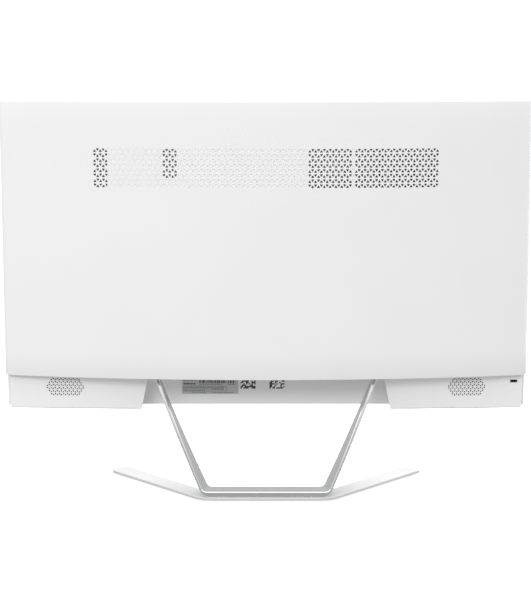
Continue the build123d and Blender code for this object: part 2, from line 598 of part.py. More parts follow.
# ---------------------------------------------------------------- main board and what sits on it
CPU_Z = 250.0
CPU_HALF = 18.75
LID_HALF = CPU_HALF - 4.0
SOCKET_T = 3.0
CPU_T = 2.0
MEMORY_X = (-72.0, -4.4)
memory_rows = (155.0, 187.0)
MEMORY_H = 30.0
MEMORY_Y = 5.2
MEMORY_T = 1.2
STICK_X = (40.0, 62.0)
STICK_Z = (156.0, 236.0)
RADIO_X = (6.0, 28.0)
RADIO_Z = (156.0, 186.0)
CARD_Y = 4.0
CARD_T = 0.9

with BuildPart() as motherboard:
    block(BOARD_X, (BOARD_Y, BOARD_FACE_Y), BOARD_Z)
    block((-CPU_HALF - 3, CPU_HALF + 3), (BOARD_FACE_Y, BOARD_FACE_Y + SOCKET_T),
          (CPU_Z - CPU_HALF - 5, CPU_Z + CPU_HALF + 5))
    for low in memory_rows:
        block(MEMORY_X, (BOARD_FACE_Y, MEMORY_Y), (low, low + 5.0))
    block(STICK_X, (BOARD_FACE_Y, CARD_Y), (STICK_Z[0], STICK_Z[0] + 5.0))
    block(RADIO_X, (BOARD_FACE_Y, CARD_Y), (RADIO_Z[0], RADIO_Z[0] + 5.0))
    # chipset, chokes and the ribbon's connector
    block((32.0, 52.0), (BOARD_FACE_Y, BOARD_FACE_Y + 1.8), (262.0, 282.0))
    with Locations(*[(x, BOARD_FACE_Y + 1.5, 291.0) for x in (-60.0, -48.0, 0.0, 12.0, 24.0)]):
        Box(7.0, 3.0, 7.0)
    block(RIBBON_X, (BOARD_FACE_Y, BOARD_FACE_Y + 1.0), (298.0, 303.0))
    for x, z in board_screw_places:
        rod((x, BOARD_Y, z), (x, BOARD_FACE_Y, z), SCREW_R, Mode.SUBTRACT)
pieces["motherboard"] = motherboard

with BuildPart() as cpu:
    socket_y = BOARD_FACE_Y + SOCKET_T
    block((-CPU_HALF, CPU_HALF), (socket_y, socket_y + CPU_T / 2), (CPU_Z - CPU_HALF, CPU_Z + CPU_HALF))
    block((-LID_HALF, LID_HALF), (socket_y, socket_y + CPU_T), (CPU_Z - LID_HALF, CPU_Z + LID_HALF))
pieces["cpu"] = cpu

with BuildPart() as memory_modules:
    for low in memory_rows:
        block(MEMORY_X, (MEMORY_Y, MEMORY_Y + MEMORY_T), (low, low + MEMORY_H))
        chip_y = MEMORY_Y + MEMORY_T + 0.4
        with Locations(*[(MEMORY_X[0] + 10 + 15.8 * step, chip_y, low + 19) for step in range(4)]):
            Box(11.0, 0.8, 12.0)
pieces["memory_modules"] = memory_modules

with BuildPart() as storage_stick:
    block(STICK_X, (CARD_Y, CARD_Y + CARD_T), STICK_Z)
    with Locations(*[(51.0, CARD_Y + CARD_T + 0.6, z) for z in (180.0, 202.0, 222.0)]):
        Box(14.0, 1.2, 16.0)
pieces["storage_stick"] = storage_stick

with BuildPart() as radio_card:
    block(RADIO_X, (CARD_Y, CARD_Y + CARD_T), RADIO_Z)
    block((9.0, 25.0), (CARD_Y, CARD_Y + 2.2), (164.0, 180.0))
pieces["radio_card"] = radio_card

# ---------------------------------------------------------------- cooling: plate, pipes, fins, blower
PLATE_Y = BOARD_FACE_Y + SOCKET_T + CPU_T
SPREADER_T = 4.0
PIPE_R = 3.0
PIPE_Y = PLATE_Y + SPREADER_T + PIPE_R
PIPE_BEND_R = 12.0
PIPE_ZS = (340.0, 329.0)
pipe_routes = [
    [(24.0, 255.0), (-82.0, 255.0), (-82.0, PIPE_ZS[0]), (-176.0, PIPE_ZS[0])],
    [(24.0, 243.0), (-93.0, 243.0), (-93.0, PIPE_ZS[1]), (-176.0, PIPE_ZS[1])],
]
FIN_X = (-176.0, -106.0)
FIN_Z = (321.0, 348.0)
FIN_Y = (PIPE_Y - 7.5, 29.0)
FIN_PITCH = 2.5
FIN_T = 0.6
BLOWER_Y = (0.0, 18.0)
BLOWER_R = 38.0
BLOWER_WALL = 1.5
LID_T = 1.2
INLET_R = 23.0
OUTLET_X = (FAN_X - 37.0, FAN_X + 34.0)
OUTLET_Z = 320.0
AXLE_R = 1.5
HUB_R = 12.0
BLADE_TIP_R = 32.0
BLADES = 23

with BuildPart() as heat_spreader:
    block((-32.0, 32.0), (PLATE_Y, PLATE_Y + SPREADER_T), (CPU_Z - 32, CPU_Z + 32))
pieces["heat_spreader"] = heat_spreader

with BuildPart() as heat_pipes:
    for route in pipe_routes:
        with BuildLine() as path:
            FilletPolyline(*[(x, PIPE_Y, z) for x, z in route], radius=PIPE_BEND_R)
        with BuildSketch(Plane(origin=path.line @ 0, z_dir=path.line % 0)) as pipe_section:
            Circle(PIPE_R)
        sweep(pipe_section.sketch, path=path.line)
pieces["heat_pipes"] = heat_pipes

with BuildPart() as fin_stack:
    block(FIN_X, FIN_Y, (FIN_Z[0], FIN_Z[0] + FIN_T))
    block(FIN_X, FIN_Y, (FIN_Z[1] - FIN_T, FIN_Z[1]))
    fin_count = int((FIN_X[1] - FIN_X[0] - FIN_T) / FIN_PITCH) + 1
    for index in range(fin_count):
        fin_x = FIN_X[0] + index * FIN_PITCH
        block((fin_x, fin_x + FIN_T), FIN_Y, FIN_Z)
    for z in PIPE_ZS:
        cross_rod((FIN_X[0] - 1, FIN_X[1] + 1), PIPE_Y, z, PIPE_R + 0.02, Mode.SUBTRACT)
pieces["fin_stack"] = fin_stack

with BuildPart() as blower_housing:
    with BuildSketch(Plane.XZ.offset(-BLOWER_Y[0])) as volute:
        with Locations((FAN_X, FAN_Z)):
            Circle(BLOWER_R)
        with Locations(((OUTLET_X[0] + OUTLET_X[1]) / 2, (FAN_Z + OUTLET_Z) / 2)):
            Rectangle(OUTLET_X[1] - OUTLET_X[0], OUTLET_Z - FAN_Z)
        with Locations(*fan_post_places[:2]):
            Circle(6.5)
    extrude(volute.sketch, amount=-(BLOWER_Y[1] - LID_T))
    with BuildSketch(Plane.XZ.offset(-BLOWER_Y[0] - BLOWER_WALL)) as scroll:
        with Locations((FAN_X, FAN_Z)):
            Circle(BLOWER_R - BLOWER_WALL)
        with Locations(((OUTLET_X[0] + OUTLET_X[1]) / 2, (FAN_Z + OUTLET_Z) / 2 + BLOWER_WALL)):
            Rectangle(OUTLET_X[1] - OUTLET_X[0] - 2 * BLOWER_WALL, OUTLET_Z - FAN_Z + BLOWER_WALL)
    extrude(scroll.sketch, amount=-BLOWER_Y[1], mode=Mode.SUBTRACT)
    rod((FAN_X, BLOWER_Y[0], FAN_Z), (FAN_X, BLOWER_Y[0] + 3.0, FAN_Z), 5.0)
    rod((FAN_X, BLOWER_Y[0] + 1.0, FAN_Z), (FAN_X, BLOWER_Y[0] + 3.0, FAN_Z), AXLE_R, Mode.SUBTRACT)
pieces["blower_housing"] = blower_housing

with BuildPart() as blower_lid:
    extrude(volute.sketch.moved(Location((0, BLOWER_Y[1] - LID_T, 0))), amount=-LID_T)
    rod((FAN_X, BLOWER_Y[0], FAN_Z), (FAN_X, BLOWER_Y[1], FAN_Z), INLET_R, Mode.SUBTRACT)
pieces["blower_lid"] = blower_lid

with BuildPart() as fan_axle:
    rod((FAN_X, BLOWER_Y[0] + 1.0, FAN_Z), (FAN_X, BLOWER_Y[0] + 13.0, FAN_Z), AXLE_R)
pieces["fan_axle"] = fan_axle

with BuildPart() as fan_impeller:
    hub_y = (BLOWER_Y[0] + 3.6, BLOWER_Y[0] + 14.5)
    rod((FAN_X, hub_y[0], FAN_Z), (FAN_X, hub_y[1], FAN_Z), HUB_R)
    rod((FAN_X, hub_y[0], FAN_Z), (FAN_X, hub_y[0] + 1.0, FAN_Z), BLADE_TIP_R)
    with BuildSketch(Plane.XZ.offset(-hub_y[0])) as blades:
        with Locations((FAN_X, FAN_Z)):
            with PolarLocations((HUB_R + BLADE_TIP_R) / 2, BLADES):
                Rectangle(BLADE_TIP_R - HUB_R + 1, 0.9, rotation=25)
    extrude(blades.sketch, amount=-(hub_y[1] - hub_y[0]))
    rod((FAN_X, hub_y[0], FAN_Z), (FAN_X, BLOWER_Y[0] + 13.2, FAN_Z), AXLE_R + SHAFT_CLEARANCE, Mode.SUBTRACT)
pieces["fan_impeller"] = fan_impeller

# ---------------------------------------------------------------- drive in its caddy
DRIVE_X = (112.0, 212.0)
DRIVE_Z = (180.0, 249.8)
DRIVE_Y = (-3.8, 3.2)
CADDY_T = 1.2
CADDY_FIT = 0.2
with BuildPart() as drive_caddy:
    caddy_x = (DRIVE_X[0] - 2, DRIVE_X[1] + 2)
    caddy_z = (DRIVE_Z[0] - CADDY_FIT, DRIVE_Z[1] + CADDY_FIT)
    block(caddy_x, (CHASSIS_Y[1], DRIVE_Y[1]), (caddy_z[0] - CADDY_T, caddy_z[1] + CADDY_T))
    block(caddy_x, DRIVE_Y, caddy_z, Mode.SUBTRACT)
pieces["drive_caddy"] = drive_caddy

with BuildPart() as drive:
    block(DRIVE_X, DRIVE_Y, DRIVE_Z)
    fillet(drive.edges().filter_by(Axis.Y), 2.0)
pieces["drive"] = drive

# ---------------------------------------------------------------- ports that face down into the recess
PORT_Z = CEILING_Z + CEILING_T
SHIELD_T = 0.8
# each row is the name, centre x, width, depth behind the board, height, cavity width, cavity depth, tongue
PORTS = [
    ("dc_jack", [68.0], 11.0, 11.0, 15.0, 6.6, 6.6, 1.2),
    ("hdmi_port", [50.0], 15.5, 6.4, 12.0, 14.0, 4.6, 1.4),
    ("lan_port", [28.0], 16.0, 13.6, 18.0, 11.8, 8.4, 0.0),
    ("usb_ports", [8.0, -10.0, -28.0, -46.0], 14.0, 6.8, 14.0, 12.5, 5.1, 1.9),
    ("audio_jack", [-65.0], 8.0, 6.4, 13.0, 3.6, 3.6, 0.0),
]

with BuildPart() as port_shield:
    block((-86.0, 86.0), (BOARD_FACE_Y + 0.6, 26.0), (PORT_Z, PORT_Z + SHIELD_T))
    for _, centres, width, depth, _, _, _, _ in PORTS:
        for x in centres:
            block((x - width / 2 - 0.2, x + width / 2 + 0.2), (BOARD_Y, BOARD_FACE_Y + depth + 0.2),
                  (PORT_Z - 1, PORT_Z + 2), Mode.SUBTRACT)
pieces["port_shield"] = port_shield

for name, centres, width, depth, height, hole_w, hole_d, tongue in PORTS:
    with BuildPart() as port:
        for x in centres:
            mid_y = BOARD_FACE_Y + depth / 2
            block((x - width / 2, x + width / 2), (BOARD_FACE_Y, BOARD_FACE_Y + depth),
                  (PORT_Z, PORT_Z + height))
            block((x - hole_w / 2, x + hole_w / 2), (mid_y - hole_d / 2, mid_y + hole_d / 2),
                  (PORT_Z, PORT_Z + height - 2), Mode.SUBTRACT)
            if tongue > 0:
                tongue_w = tongue if hole_w == hole_d else hole_w - 2
                block((x - tongue_w / 2, x + tongue_w / 2), (mid_y - tongue / 2, mid_y + tongue / 2),
                      (PORT_Z + 1, PORT_Z + height - 2))
            # the board edge stops short of the port's foot
            block((x - width / 2, x + width / 2), (BOARD_Y, BOARD_FACE_Y), (PORT_Z + 1, BOARD_Z[0] - GAP))
    pieces[name] = port

# ---------------------------------------------------------------- sound, camera, antennas, lock
DRIVER_R = 10.6
DRIVER_Z = GRILLE_Z - 3.0
RIM_W = 2.5
RIM_T = 1.4
CONE_DEPTH = 3.0
SPEAKER_Y = 0.5
SPEAKER_T = 7.0
speaker_face_y = SPEAKER_Y + SPEAKER_T
for name, side in SIDES.items():
    with BuildPart() as speaker_box:
        block(sorted((side * 152.0, side * 240.0)), (SPEAKER_Y, speaker_face_y), (BOTTOM_Z + 4, 123.0))
        depth_rod(side * GRILLE_X, (SPEAKER_Y + 1.5, speaker_face_y), DRIVER_Z, DRIVER_R + 0.2, Mode.SUBTRACT)
    pieces["speaker_box_" + name] = speaker_box

    with BuildPart() as speaker_driver:
        depth_rod(side * GRILLE_X, (SPEAKER_Y + 2.0, speaker_face_y), DRIVER_Z, DRIVER_R)
        depth_rod(side * GRILLE_X, (speaker_face_y, speaker_face_y + RIM_T), DRIVER_Z, DRIVER_R + RIM_W)
        with Locations(Location((side * GRILLE_X, speaker_face_y + RIM_T, DRIVER_Z), (90, 0, 0))):
            Cone(DRIVER_R, 4.0, CONE_DEPTH, align=(Align.CENTER, Align.CENTER, Align.MAX), mode=Mode.SUBTRACT)
    pieces["speaker_driver_" + name] = speaker_driver

with BuildPart() as antennas:
    for side in SIDES.values():
        block(sorted((side * 185.0, side * 225.0)), (CHASSIS_Y[1], CHASSIS_Y[1] + 0.8), (388.0, 400.0))
pieces["antennas"] = antennas

with BuildPart() as camera_module:
    camera_y = FRONT_Y + FRAME_LIP
    block((-34.0, 34.0), (camera_y + 1.6, camera_y + 2.4), (CAMERA_Z - 1.9, CAMERA_Z + 1.9))
    rod((0, camera_y, CAMERA_Z), (0, camera_y + 1.6, CAMERA_Z), 1.9)
    for x in (-MIC_X, MIC_X):
        block((x - 1.5, x + 1.5), (camera_y + 0.6, camera_y + 1.6), (CAMERA_Z - 1.2, CAMERA_Z + 1.2))
pieces["camera_module"] = camera_module

with BuildPart() as lock_plate:
    block((LOCK_X - 6.0, LOCK_X + 7.5), (7.0, 8.6), (LOCK_Z - 6, LOCK_Z + 6))
    block((LOCK_X - LOCK_L / 2, LOCK_X + LOCK_L / 2), (6.0, 9.0), (LOCK_Z - LOCK_H / 2, LOCK_Z + LOCK_H / 2),
          Mode.SUBTRACT)
pieces["lock_plate"] = lock_plate

# ---------------------------------------------------------------- power button under the chin
with BuildPart() as power_button:
    with BuildSketch(Plane.XY.offset(BOTTOM_Z - 0.5)):
        with Locations((BUTTON_X, BUTTON_Y)):
            SlotOverall(BUTTON_L, BUTTON_W)
    extrude(amount=FRAME_FLOOR + 1.8)
    block((BUTTON_X - 8.0, BUTTON_X + 8.0), (BUTTON_Y - 2.9, BUTTON_Y + 2.9),
          (BOTTOM_Z + FRAME_FLOOR + GAP, BOTTOM_Z + FRAME_FLOOR + 1.3))
pieces["power_button"] = power_button

with BuildPart() as button_board:
    block((BUTTON_X - 10.0, BUTTON_X + 10.0), (BUTTON_Y - 3.0, BUTTON_Y + 3.0), (95.6, 96.6))
    block((BUTTON_X - 3.0, BUTTON_X + 3.0), (BUTTON_Y - 2.5, BUTTON_Y + 2.5), (93.8, 95.6))
pieces["button_board"] = button_board

# ---------------------------------------------------------------- cables held inside the case
RIBBON_T = 0.4
RIBBON_Y = TRAY_Y + TRAY_T + 0.4
with BuildPart() as display_cable:
    ribbon_low_z = BOTTOM_Z + 5.0
    plug_y = BOARD_FACE_Y + 1.0
    block(RIBBON_X, (RIBBON_Y, RIBBON_Y + RIBBON_T), (ribbon_low_z + RIBBON_T, RIBBON_TOP_Z))
    block(RIBBON_X, (DRIVER_BOARD_Y + 1.0, RIBBON_Y + RIBBON_T), (ribbon_low_z, ribbon_low_z + RIBBON_T))
    block(RIBBON_X, (RIBBON_Y, plug_y + RIBBON_T), (RIBBON_TOP_Z - RIBBON_T, RIBBON_TOP_Z))
    block(RIBBON_X, (plug_y, plug_y + RIBBON_T), (RIBBON_TOP_Z - 10.0, RIBBON_TOP_Z))
pieces["display_cable"] = display_cable

WIRE_R = 1.0
WIRE_Y = BOARD_FACE_Y + WIRE_R + 0.6
with BuildPart() as speaker_cables:
    for side in SIDES.values():
        with BuildLine() as route:
            FilletPolyline((side * 160.0, WIRE_Y, 123.0), (side * 160.0, WIRE_Y, 172.0),
                           (side * 78.5, WIRE_Y, 172.0), radius=15.0)
        with BuildSketch(Plane(origin=route.line @ 0, z_dir=route.line % 0)) as wire_section:
            Circle(WIRE_R)
        sweep(wire_section.sketch, path=route.line)
pieces["speaker_cables"] = speaker_cables

with BuildPart() as drive_cable:
    block((BOARD_X[1] + 0.5, DRIVE_X[0] - 0.2), (1.8, 2.4), (202.0, 216.0))
pieces["drive_cable"] = drive_cable

# ---------------------------------------------------------------- labels and cover screws
LABEL_T = 0.15
with BuildPart() as rating_label:
    block((29.0, 88.0), (RECESS_WALL_Y, RECESS_WALL_Y + LABEL_T), (99.0, 121.5))
pieces["rating_label"] = rating_label

with BuildPart() as code_labels:
    block((10.5, 27.4), (RECESS_WALL_Y, RECESS_WALL_Y + LABEL_T), (104.3, 121.0))
    block((-20.0, -2.0), (RECESS_WALL_Y, RECESS_WALL_Y + LABEL_T), (104.3, 121.0))
pieces["code_labels"] = code_labels

with BuildPart() as cover_screws:
    for side in SIDES.values():
        axis_rod(side * BOSS_X, BOSS_Y, (CEILING_Z - SCREW_HEAD_T, CEILING_Z), SCREW_HEAD_R)
        axis_rod(side * BOSS_X, BOSS_Y, (CEILING_Z, BOSS_TOP_Z - WALL - 1), SCREW_R - 0.05)
pieces["cover_screws"] = cover_screws

# ---------------------------------------------------------------- write one file per piece
os.makedirs("parts", exist_ok=True)
for name, piece in pieces.items():
    piece.part.label = name
    export_step(piece.part, "parts/%s.step" % name)
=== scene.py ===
import json
import math
import random

import bmesh
import bpy
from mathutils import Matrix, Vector


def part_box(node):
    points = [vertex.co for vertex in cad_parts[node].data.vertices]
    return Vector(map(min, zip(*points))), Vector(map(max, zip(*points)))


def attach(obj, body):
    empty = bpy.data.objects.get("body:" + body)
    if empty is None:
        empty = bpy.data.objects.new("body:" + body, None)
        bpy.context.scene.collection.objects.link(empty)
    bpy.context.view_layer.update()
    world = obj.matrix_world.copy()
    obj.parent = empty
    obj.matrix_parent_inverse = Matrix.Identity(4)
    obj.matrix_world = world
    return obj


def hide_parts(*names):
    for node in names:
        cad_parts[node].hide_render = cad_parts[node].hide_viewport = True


# The looks of an all-in-one PC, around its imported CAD.  Metres; the screen faces -Y.

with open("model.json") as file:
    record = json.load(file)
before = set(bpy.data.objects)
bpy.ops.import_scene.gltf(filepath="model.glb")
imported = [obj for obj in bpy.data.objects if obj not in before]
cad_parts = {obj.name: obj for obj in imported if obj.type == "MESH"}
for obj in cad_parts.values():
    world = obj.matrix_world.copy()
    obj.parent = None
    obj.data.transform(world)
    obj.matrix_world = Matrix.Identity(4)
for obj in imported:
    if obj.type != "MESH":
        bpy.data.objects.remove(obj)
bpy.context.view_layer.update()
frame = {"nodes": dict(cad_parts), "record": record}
nodes = frame["nodes"]
MM = 0.001

# ---------------------------------------------------------------- sizes shared by the pieces
cover_low, cover_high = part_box("rear_cover")
HALF_W = cover_high.x
SEAM_Y = cover_low.y
COVER_MID_Y = cover_high.y
COVER_LOW_Z = cover_low.z
COVER_TOP_Z = cover_high.z
COVER_SAG = 27.83 * MM          # how much shallower the cover is at its sides
COVER_CORNER_R = 8 * MM
COVER_TOP_R = 1.8 * MM
WALL = 2.2 * MM
BACK_R = (HALF_W ** 2 + COVER_SAG ** 2) / (2 * COVER_SAG)
BACK_CENTRE_Y = COVER_MID_Y - BACK_R

VENT_PITCH = 5.84 * MM
VENT_ROW_H = VENT_PITCH * math.sqrt(3) / 2
VENT_ROWS = 8
VENT_COLUMNS = 119
VENT_MID_Z = 339.9 * MM
VENT_HOLE_R = 1.93 * MM         # to the hole's corners before they are rounded
VENT_ROUND = 0.35 * MM
VENT_EMBOSS = 0.50 * MM
VENT_WINDOWS = ((0, 5, 8), (24, 29, 6), (74, 89, 8), (90, 119, 8))


# ---------------------------------------------------------------- mesh helpers
def new_piece(name, mesh_maker, body, materials, smooth_angle=32):
    """Makes a mesh object from a function that fills a bmesh, and puts it on its body."""
    bm = bmesh.new()
    mesh_maker(bm)
    bmesh.ops.remove_doubles(bm, verts=bm.verts, dist=0.002 * MM)
    bmesh.ops.recalc_face_normals(bm, faces=bm.faces)
    for face in bm.faces:
        face.smooth = True
    limit = math.radians(smooth_angle)
    for edge in bm.edges:
        if len(edge.link_faces) != 2 or edge.calc_face_angle(0) > limit:
            edge.smooth = False
    mesh = bpy.data.meshes.new(name)
    bm.to_mesh(mesh)
    bm.free()
    piece = bpy.data.objects.new(name, mesh)
    bpy.context.scene.collection.objects.link(piece)
    for material in materials:
        mesh.materials.append(material)
    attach(piece, body)
    return piece


def add_face(bm, points, material=0):
    """One face from points; points that fall together are dropped."""
    kept = []
    for point in points:
        if not kept or (Vector(point) - Vector(kept[-1])).length > 1e-7:
            kept.append(point)
    if len(kept) > 2:
        face = bm.faces.new([bm.verts.new(point) for point in kept])
        face.material_index = material
        return face
    return None


def add_block(bm, low, high, material=0):
    """Axis-aligned block."""
    x0, y0, z0 = low
    x1, y1, z1 = high
    corners = [(x, y, z) for x in (x0, x1) for y in (y0, y1) for z in (z0, z1)]
    for a, b, c, d in ((0, 1, 3, 2), (4, 6, 7, 5), (0, 4, 5, 1), (2, 3, 7, 6), (0, 2, 6, 4), (1, 5, 7, 3)):
        add_face(bm, [corners[a], corners[b], corners[c], corners[d]], material)


def add_prism(bm, outline, z0, z1, material=0):
    """Vertical prism on a plan outline of (x, y) points."""
    low = [(x, y, z0) for x, y in outline]
    high = [(x, y, z1) for x, y in outline]
    add_face(bm, low, material)
    add_face(bm, high, material)
    for i in range(len(outline)):
        j = (i + 1) % len(outline)
        add_face(bm, [low[i], low[j], high[j], high[i]], material)


def rounded_path(points, radii, steps):
    """Open polyline in 2D with its inner corners rounded; every corner gives steps + 1 points."""
    path = [Vector(points[0])]
    for before, corner, after, radius in zip(points, points[1:], points[2:], radii):
        corner = Vector(corner)
        to_before = (Vector(before) - corner).normalized()
        to_after = (Vector(after) - corner).normalized()
        half = math.acos(max(-1, min(1, to_before.dot(to_after)))) / 2
        reach = radius / math.tan(half)
        middle = corner + (to_before + to_after).normalized() * (radius / math.sin(half))
        start = corner + to_before * reach - middle
        end = corner + to_after * reach - middle
        turn = math.atan2(start.x * end.y - start.y * end.x, start.dot(end))
        for step in range(steps + 1):
            angle = turn * step / steps
            path.append(middle + Vector((start.x * math.cos(angle) - start.y * math.sin(angle),
                                         start.x * math.sin(angle) + start.y * math.cos(angle))))
    path.append(Vector(points[-1]))
    return path


# ---------------------------------------------------------------- materials
class Shader:
    """A node material built up in small steps around one Principled shader."""

    def __init__(self, name, color, rough, metallic=0.0):
        self.material = bpy.data.materials.new(name)
        self.material.use_nodes = True
        self.tree = self.material.node_tree
        self.main = self.tree.nodes["Principled BSDF"]
        self.main.inputs["Base Color"].default_value = (*color, 1)
        self.main.inputs["Roughness"].default_value = rough
        self.main.inputs["Metallic"].default_value = metallic
        self.color = color
        self.rough = rough
        self.place = self.tree.nodes.new("ShaderNodeTexCoord").outputs["Object"]
        self.normal = None

    def link(self, output, target):
        self.tree.links.new(output, target)

    def noise(self, scale, detail=3.0, stretch=None):
        """Noise in metres of the object; stretch scales each axis."""
        source = self.place
        if stretch:
            mapping = self.tree.nodes.new("ShaderNodeMapping")
            mapping.inputs["Scale"].default_value = stretch
            self.link(source, mapping.inputs["Vector"])
            source = mapping.outputs["Vector"]
        texture = self.tree.nodes.new("ShaderNodeTexNoise")
        texture.inputs["Scale"].default_value = scale
        texture.inputs["Detail"].default_value = detail
        self.link(source, texture.inputs["Vector"])
        return texture.outputs["Fac"]

    def ramp(self, source, low, high, start=0.3, end=0.7):
        """Turns a 0 to 1 value into a range of values."""
        node = self.tree.nodes.new("ShaderNodeMapRange")
        node.inputs["From Min"].default_value = start
        node.inputs["From Max"].default_value = end
        node.inputs["To Min"].default_value = low
        node.inputs["To Max"].default_value = high
        self.link(source, node.inputs["Value"])
        return node.outputs["Result"]

    def mix(self, fac, color_a, color_b):
        """Mixes two colours, either of which can be a socket."""
        node = self.tree.nodes.new("ShaderNodeMix")
        node.data_type = "RGBA"
        self.link(fac, node.inputs["Factor"])
        for socket, value in ((node.inputs[6], color_a), (node.inputs[7], color_b)):
            if hasattr(value, "is_linked"):
                self.link(value, socket)
            else:
                socket.default_value = (*value, 1)
        return node.outputs[2]

    def tint(self, scale, amount, stretch=None):
        """Slight unevenness of the colour."""
        darker = [c * (1 - amount) for c in self.color]
        lighter = [min(1, c * (1 + amount)) for c in self.color]
        fac = self.ramp(self.noise(scale, stretch=stretch), 0, 1)
        self.link(self.mix(fac, darker, lighter), self.main.inputs["Base Color"])
        return self

    def wear(self, scale, amount, stretch=None):
        """Uneven roughness, as from handling and moulding."""
        result = self.ramp(self.noise(scale, stretch=stretch), self.rough - amount, self.rough + amount)
        self.link(result, self.main.inputs["Roughness"])
        return self

    def bump(self, scale, strength, height, detail=2.0, stretch=None):
        """Fine relief; height in metres."""
        node = self.tree.nodes.new("ShaderNodeBump")
        node.inputs["Strength"].default_value = strength
        node.inputs["Distance"].default_value = height
        self.link(self.noise(scale, detail, stretch), node.inputs["Height"])
        if self.normal is not None:
            self.link(self.normal, node.inputs["Normal"])
        self.normal = node.outputs["Normal"]
        self.link(self.normal, self.main.inputs["Normal"])
        return self

    def set(self, **values):
        """Constant values straight on the shader's sockets."""
        for name, value in values.items():
            self.main.inputs[name.replace("_", " ")].default_value = value
        return self


def moulded(name, color, rough, grain=0.25):
    """Satin moulded plastic with a fine spark-eroded texture."""
    made = Shader(name, color, rough).tint(9, 0.012).wear(60, 0.04)
    made.bump(4200, grain, 0.03 * MM).bump(14, 0.04, 0.2 * MM)
    return made.material


def sheet_metal(name, color, rough, stretch=(1, 1, 30)):
    """Rolled sheet with streaks along one axis."""
    made = Shader(name, color, rough, 1.0).tint(40, 0.06, stretch).wear(90, 0.08, stretch)
    made.bump(600, 0.12, 0.02 * MM, stretch=stretch)
    return made.material


cover_white = moulded("cover_white", (0.845, 0.845, 0.848), 0.42)
frame_white = moulded("frame_white", (0.85, 0.85, 0.855), 0.30, 0.08)
button_white = moulded("button_white", (0.80, 0.80, 0.81), 0.25, 0.05)
diffuser_white = moulded("diffuser_white", (0.88, 0.88, 0.86), 0.6)
black_plastic = moulded("black_plastic", (0.022, 0.022, 0.024), 0.48, 0.5)
rubber_black = moulded("rubber_black", (0.018, 0.018, 0.018), 0.85, 0.8)
wire_black = moulded("wire_black", (0.02, 0.02, 0.02), 0.5, 0.2)
ribbon_white = moulded("ribbon_white", (0.74, 0.74, 0.70), 0.45, 0.1)
steel = sheet_metal("sheet_steel", (0.56, 0.57, 0.58), 0.34)
hinge_steel = sheet_metal("hinge_steel", (0.33, 0.34, 0.36), 0.38, (30, 1, 1))
screw_steel = sheet_metal("screw_steel", (0.20, 0.20, 0.21), 0.40)
chip_metal = sheet_metal("chip_metal", (0.66, 0.66, 0.66), 0.28, (1, 1, 8))
plated_copper = sheet_metal("plated_copper", (0.55, 0.53, 0.51), 0.30, (8, 1, 1))
fin_metal = sheet_metal("fin_aluminium", (0.62, 0.63, 0.64), 0.36)
port_metal = sheet_metal("port_metal", (0.60, 0.60, 0.61), 0.26)
drive_metal = sheet_metal("drive_metal", (0.42, 0.43, 0.44), 0.42, (20, 1, 1))
bar_metal = sheet_metal("bar_aluminium", (0.64, 0.645, 0.655), 0.24, (1, 40, 1))
bar_polished = sheet_metal("bar_polished", (0.92, 0.92, 0.925), 0.10, (1, 6, 1))


def make_screen():
    """Dark anti-glare panel."""
    made = Shader("screen_black", (0.006, 0.0065, 0.008), 0.42).wear(30, 0.03)
    made.bump(9000, 0.12, 0.006 * MM)
    made.set(Specular_IOR_Level=0.22)
    return made.material


def make_board():
    """Green solder mask over a maze of tracks."""
    made = Shader("board_green", (0.012, 0.085, 0.042), 0.38)
    tracks = made.tree.nodes.new("ShaderNodeTexBrick")
    tracks.inputs["Scale"].default_value = 160
    tracks.inputs["Mortar Size"].default_value = 0.05
    turn = made.tree.nodes.new("ShaderNodeMapping")
    turn.inputs["Rotation"].default_value = (math.radians(90), 0, 0)
    made.link(made.place, turn.inputs["Vector"])
    made.link(turn.outputs["Vector"], tracks.inputs["Vector"])
    base = made.mix(made.ramp(made.noise(25), 0, 1), (0.010, 0.075, 0.036), (0.016, 0.105, 0.052))
    made.link(made.mix(tracks.outputs["Fac"], base, (0.035, 0.17, 0.085)), made.main.inputs["Base Color"])
    made.bump(900, 0.2, 0.03 * MM)
    return made.material


def make_base_paint():
    """White powder coat with its ground edges left bright."""
    made = Shader("base_paint", (0.79, 0.79, 0.795), 0.35).tint(9, 0.012).wear(60, 0.04)
    made.bump(4200, 0.12, 0.03 * MM)
    split = made.tree.nodes.new("ShaderNodeSeparateXYZ")
    made.link(made.tree.nodes.new("ShaderNodeNewGeometry").outputs["Normal"], split.inputs["Vector"])
    made.link(made.ramp(split.outputs["Z"], 0.55, 0.0, 0.1, 0.4), made.main.inputs["Metallic"])
    return made.material


def make_label():
    """Brushed silver film."""
    made = Shader("label_silver", (0.50, 0.50, 0.51), 0.34, 0.2)
    made.tint(120, 0.05, (1, 1, 12)).wear(200, 0.05).bump(1500, 0.1, 0.01 * MM, stretch=(1, 1, 20))
    return made.material


def make_print():
    """Matte black ink."""
    made = Shader("label_print", (0.02, 0.02, 0.022), 0.55).tint(500, 0.25).wear(300, 0.08)
    return made.material


def make_sticker():
    """Matte paper sticker."""
    return Shader("code_paper", (0.86, 0.86, 0.85), 0.7).tint(800, 0.02).bump(2500, 0.1, 0.01 * MM).material


screen_black = make_screen()
board_green = make_board()
label_silver = make_label()
base_paint = make_base_paint()
label_ink = make_print()

